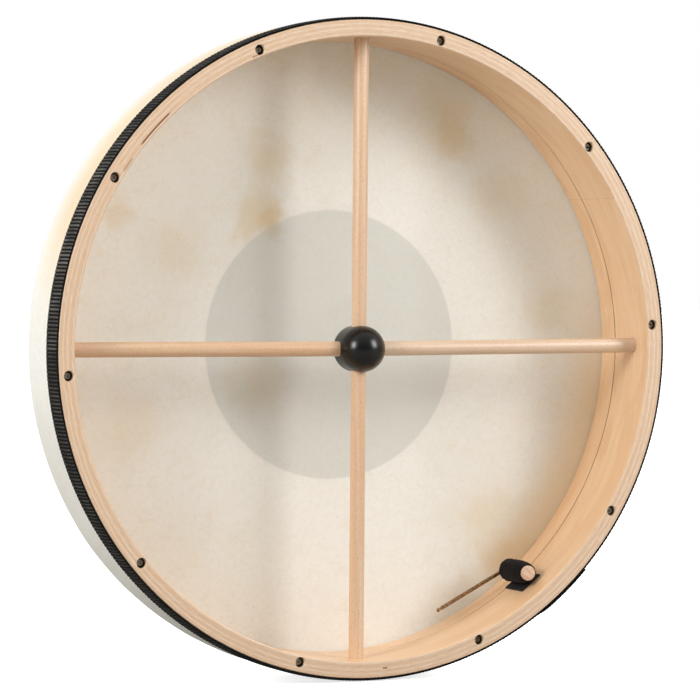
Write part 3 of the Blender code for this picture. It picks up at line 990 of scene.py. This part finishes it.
def make_screw(node, material):
    """A set screw with a real helical thread, a chamfered end and a hexagon socket."""
    low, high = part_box(node)
    centre = node_centre(node)
    root, crest, pitch, columns = 0.0021, 0.00248, 0.0008, 24
    length = high.y - low.y
    rows = round(length / pitch * 4)
    shape = bmesh.new()
    grid = []
    for row in range(rows + 1):
        along = length * row / rows
        taper = min(1.0, (along + 0.0001) / 0.0006, (length - along + 0.0001) / 0.0010)
        ring = []
        for column in range(columns):
            angle = TURN * column / columns
            phase = along / pitch - column / columns
            ridge = abs((phase % 1.0) - 0.5) * 2
            radius = (root + (crest - root) * ridge) * (0.72 + 0.28 * taper)
            x = centre.x + radius * cos(angle)
            z = centre.z + radius * sin(angle)
            ring.append(shape.verts.new((x, low.y + along, z)))
        grid.append(ring)
    add_faces(shape, grid)
    add_ends(shape, grid)
    screw = close_up("set_" + node.replace("tuning_", ""), shape, radians(40))
    boolean(screw, socket_cutter(node))
    show(screw, material, node.replace("tuning_screw", "screw"), node)


def make_insert(node, material):
    """A plain sleeve with a chamfered mouth and a knurled outside."""
    low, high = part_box(node)
    outer = half_width(node)
    bore = outer - 0.00045
    profile = [
        (bore + 0.0002, low.y), (outer - 0.0001, low.y), (outer, low.y + 0.0001),
        (outer, high.y), (bore, high.y), (bore, low.y + 0.0003),
    ]

    def knurl(angle, index):
        return 0.0001 * cos(24 * angle) if index in (2, 3) else 0.0

    sleeve = lathe("sleeve_" + node[-2:], profile, 96, centre=node_axis(node), offset=knurl)
    show(sleeve, material, "hoop", node)


# ---- tuning key


def pseudo(*numbers):
    """A repeatable value from 0 to 1 for a set of whole numbers."""
    value = sin(sum(n * k for n, k in zip(numbers, (12.9898, 78.233, 37.719)))) * 43758.5453
    return value - math.floor(value)


def make_handle_core(material):
    low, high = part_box("key_handle_core")
    radius = half_width("key_handle_core")
    bore = 0.0016
    profile = [
        (0, low.y), (radius - 0.0008, low.y), (radius - 0.0002, low.y + 0.0002),
        (radius, low.y + 0.0007), (radius, high.y), (bore, high.y),
        (bore, high.y - 0.009), (0, high.y - 0.009),
    ]
    core = lathe("beech_key_core", profile, 64, centre=node_axis("key_handle_core"))
    show(core, material, "tuning_key", "key_handle_core")


FELT_STEPS = 200


def make_handle_felt(material):
    """A felt sleeve with a rough, fibrous surface."""
    low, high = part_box("key_handle_felt")
    outer = half_width("key_handle_felt") - 0.0004
    mouth = 0.0014
    inner = half_width("key_handle_core") + 0.0001
    corner = 0.0019
    profile = [(inner, low.y + 0.0004)]
    profile += arc((outer - mouth - 0.0008, low.y + 0.0008), 0.0008, -90, 0, 6)
    length = high.y - low.y - corner - 0.0008
    for i in range(1, 80):
        narrow = mouth * max(0.0, 1 - i / 30) ** 2
        profile.append((outer - narrow, low.y + 0.0008 + length * i / 80))
    profile += arc((outer - corner, high.y - corner), corner, 0, 90, 10)
    profile += [(inner, high.y - 0.0003)]
    shaggy = len(profile) - 2

    def fibres(angle, index):
        if index == 0 or index > shaggy:
            return 0.0
        step = round(angle / TURN * FELT_STEPS)
        coarse = pseudo(step // 5, index // 4, 1) - 0.5
        return 0.00050 * (pseudo(step, index, 2) - 0.5) + 0.00034 * coarse

    place = node_axis("key_handle_felt")
    sharp = radians(80)
    felt = lathe("felt_grip", profile, FELT_STEPS, centre=place, offset=fibres, sharp=sharp)
    show(felt, material, "tuning_key", "key_handle_felt")


CORNER_SHARE = 1.1547  # how much further out a hexagon's corners are than its flats


def key_line():
    """The key's centre line from inside the handle, round the bend, to its ball end."""
    low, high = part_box("hex_key")
    handle = node_centre("key_handle_core")
    half = KEY_FLATS / 2
    arm_y = high.y - half * CORNER_SHARE
    bend = 0.005
    tip = Vector((low.x + half * 0.5, arm_y, low.z + half * 0.6))
    start = Vector((handle.x, low.y, handle.z))
    corner = Vector((handle.x, arm_y, handle.z))
    along = (tip - corner).normalized()
    inward = Vector((0, 1, 0))
    points = [start, corner - inward * (bend + 0.002)]
    middle = corner - inward * bend + along * bend
    for i in range(13):
        turn = radians(90 * i / 12)
        points.append(middle - along * (bend * cos(turn)) + inward * (bend * sin(turn)))
    length = (tip - corner).length
    for share in (0.3, 0.6, 0.85):
        points.append(corner + along * (length * share))
    widths = [1.0] * len(points)
    for back, width in (
        (0.0046, 1.0), (0.0040, 0.95), (0.0034, 0.74), (0.0029, 0.66), (0.0026, 0.70),
        (0.0022, 0.90), (0.0017, 1.0), (0.0010, 0.98), (0.0005, 0.80), (0.0001, 0.45),
    ):
        points.append(tip - along * back)
        widths.append(width)
    return points, widths


def make_hex_key(material):
    """A hexagon bar with slightly rounded corners, swept along the key's line."""
    points, widths = key_line()
    corner = KEY_FLATS / math.sqrt(3) * 0.985
    section = []
    for side in range(6):
        for shift in (-4, 4):
            angle = radians(60 * side + shift)
            section.append((corner * cos(angle), corner * sin(angle)))
    flat_normal = (points[-1] - points[0]).cross(Vector((0, 1, 0))).normalized()
    shape = bmesh.new()
    rows = []
    for i, (point, width) in enumerate(zip(points, widths)):
        before = points[max(i - 1, 0)]
        after = points[min(i + 1, len(points) - 1)]
        ahead = (after - before).normalized()
        beside = flat_normal.cross(ahead).normalized()
        row = [point + flat_normal * (u * width) + beside * (v * width) for u, v in section]
        rows.append([shape.verts.new(corner) for corner in row])
    add_faces(shape, rows)
    add_ends(shape, rows)
    key = close_up("steel_hex_key", shape, radians(25))
    show(key, material, "tuning_key", "hex_key")


PAD_BACK = 0.0016  # from the middle of the CAD pad out to the pad's back, inside the wood


def make_key_pad(material):
    """A slab of hook tape: rows of small stiff hooks on a thin backing."""
    centre = node_centre("key_pad")
    low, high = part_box("key_pad")
    angle = math.atan2(centre.z, centre.x)
    outward = Vector((cos(angle), 0, sin(angle)))
    sideways = Vector((-sin(angle), 0, cos(angle)))
    length = high.y - low.y
    width, thickness, pitch = 0.018, 0.0010, 0.0011
    columns, rows = 96, 140
    shape = bmesh.new()
    grid = []
    for row in range(rows + 1):
        line = []
        for column in range(columns + 1):
            across = width * (column / columns - 0.5)
            along = length * (row / rows - 0.5)
            shift = 0.5 * (round(along / pitch) % 2)
            du = (across / pitch + shift) % 1.0 - 0.5
            dv = (along / pitch) % 1.0 - 0.5
            bump = math.exp(-(du * du + dv * dv) * 22)
            inside = min(column, columns - column) > 1 and min(row, rows - row) > 1
            height = thickness * 0.35 + (0.0006 * bump if inside else 0.0)
            point = centre + sideways * across + Vector((0, along, 0))
            line.append(shape.verts.new(point + outward * (thickness * 0.5 - height)))
        grid.append(line)
    for first, second in zip(grid, grid[1:]):
        for i in range(columns):
            shape.faces.new((first[i], first[i + 1], second[i + 1], second[i]))
    border = [edge for edge in shape.edges if edge.is_boundary]
    made = bmesh.ops.extrude_edge_only(shape, edges=border)
    moved = [v for v in made["geom"] if isinstance(v, bmesh.types.BMVert)]
    for vert in moved:
        reach = (vert.co - centre).dot(outward)
        vert.co += outward * (PAD_BACK - reach)
    shape.edges.ensure_lookup_table()
    border = [edge for edge in shape.edges if edge.is_boundary]
    bmesh.ops.holes_fill(shape, edges=border)
    pad = close_up("hook_pad", shape, radians(60))
    show(pad, material, "hoop", "key_pad")


# ---- floor, light and camera


FLOOR_SIZE = 40
FLOOR_GAP = 0.0003


def make_floor():
    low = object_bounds()[0]
    bpy.ops.mesh.primitive_grid_add(x_subdivisions=8, y_subdivisions=8, size=FLOOR_SIZE)
    floor = bpy.context.active_object
    floor.name = "floor"
    floor.location = (0, 0, low.z - FLOOR_GAP)
    floor.data.materials.append(floor_material())


def add_softbox(name, direction, distance, width, height, power):
    """A rectangular area light in that direction from the drum, facing it."""
    light = bpy.data.lights.new(name, "AREA")
    light.shape = "RECTANGLE"
    light.size, light.size_y = width, height
    light.energy = power
    lamp = new_object(name, light)
    back = Vector(direction).normalized()
    lamp.location = back * distance
    lamp.rotation_euler = (-back).to_track_quat("-Z", "Y").to_euler()


# Each lamp is a wide box with a small bright core: name, direction, width, height, power
LAMPS = (
    ("key", (0.66, -0.67, 0.38), 0.8, 1.1, 22.5),
    ("side", (-0.84, -0.36, 0.32), 0.7, 1.0, 20.5),
)
BOX_DISTANCE = 1.95
CORE_DISTANCE = 1.9
CORE_SIZE = (0.28, 0.5)
CORE_SHARE = 0.22  # of the lamp's power
WORLD_FRONT = 0.17
WORLD_BACK = 1.02
WORLD_TOP = 0.34
FLOOR_GLOW = 0.75


def make_world():
    """White all round to the camera; as light, dim behind the camera and bright beyond."""
    world = bpy.data.worlds.new("studio")
    world.use_nodes = True
    sky = Nodes(world.node_tree)
    ambient = sky.tree.nodes["Background"]
    ambient.inputs["Color"].default_value = (1.0, 0.985, 0.97, 1)
    direction = sky.split(sky.node("TexCoord").outputs["Generated"])
    beyond = sky.step(direction["Y"], -0.95, 0.7, WORLD_FRONT, WORLD_BACK)
    above = sky.step(direction["Z"], -0.1, 0.9, 0.0, WORLD_TOP)
    sky.feed(ambient.inputs["Strength"], sky.plus(beyond, above))
    seen = sky.node("Background", (1, 1, 1, 1))
    path = sky.node("LightPath").outputs["Is Camera Ray"]
    mix = sky.node("MixShader", path, ambient.outputs[0], seen.outputs[0])
    sky.feed(sky.tree.nodes["World Output"].inputs["Surface"], mix.outputs[0])
    bpy.context.scene.world = world


def make_light():
    for name, direction, width, height, power in LAMPS:
        box_power = power * (1 - CORE_SHARE)
        add_softbox(name + "_softbox", direction, BOX_DISTANCE, width, height, box_power)
        add_softbox(name + "_core", direction, CORE_DISTANCE, *CORE_SIZE, power * CORE_SHARE)
    make_world()
    bpy.context.scene.view_settings.view_transform = "Standard"


CAMERA_PLACE = (-0.9602, -2.1838, 0.0536)
CAMERA_TURN, CAMERA_DIP, CAMERA_ROLL = -23.59, 1.308, 0.34  # degrees
SENSOR_WIDTH, LENS = 36, 178.1  # millimetres


def make_camera():
    """A long lens from the left of the open back, a little above the drum's centre."""
    data = bpy.data.cameras.new("camera")
    data.sensor_width = SENSOR_WIDTH
    data.lens = LENS
    camera = new_object("camera", data)
    camera.location = CAMERA_PLACE
    turn = Matrix.Rotation(radians(CAMERA_TURN), 4, "Z")
    lift = Matrix.Rotation(radians(90 - CAMERA_DIP), 4, "X")
    roll = Matrix.Rotation(radians(CAMERA_ROLL), 4, "Z")
    camera.rotation_euler = (turn @ lift @ roll).to_euler()
    bpy.context.scene.camera = camera


def main():
    plywood = plywood_material()
    goatskin = goatskin_material("goatskin")
    make_camera()
    make_outer_shell(plywood)
    make_screw_ring(plywood)
    make_tuning_ring(plywood)
    make_drumhead(goatskin)
    make_patch(goatskin_material("patch_goatskin", paint_patch_shade=False))
    make_webbing(webbing_material())
    make_bars()
    make_hub(lacquer_material())
    screw_steel = steel_material("dark_steel", (112, 102, 88), (206, 198, 184), 0.42)
    insert_steel = steel_material("insert_steel", (50, 40, 30), (98, 86, 70), 0.5)
    for screw in SCREWS:
        make_screw(screw, screw_steel)
        make_insert(screw.replace("tuning_screw", "threaded_insert"), insert_steel)
    make_handle_core(end_grain_material())
    make_handle_felt(felt_material())
    # Painted reflection: the key's plated steel is coloured bronze for the warm wood it reflects.
    make_hex_key(steel_material("key_steel", (112, 84, 56), (182, 150, 116), 0.3))
    make_key_pad(hook_material())
    make_floor()
    make_light()


main()
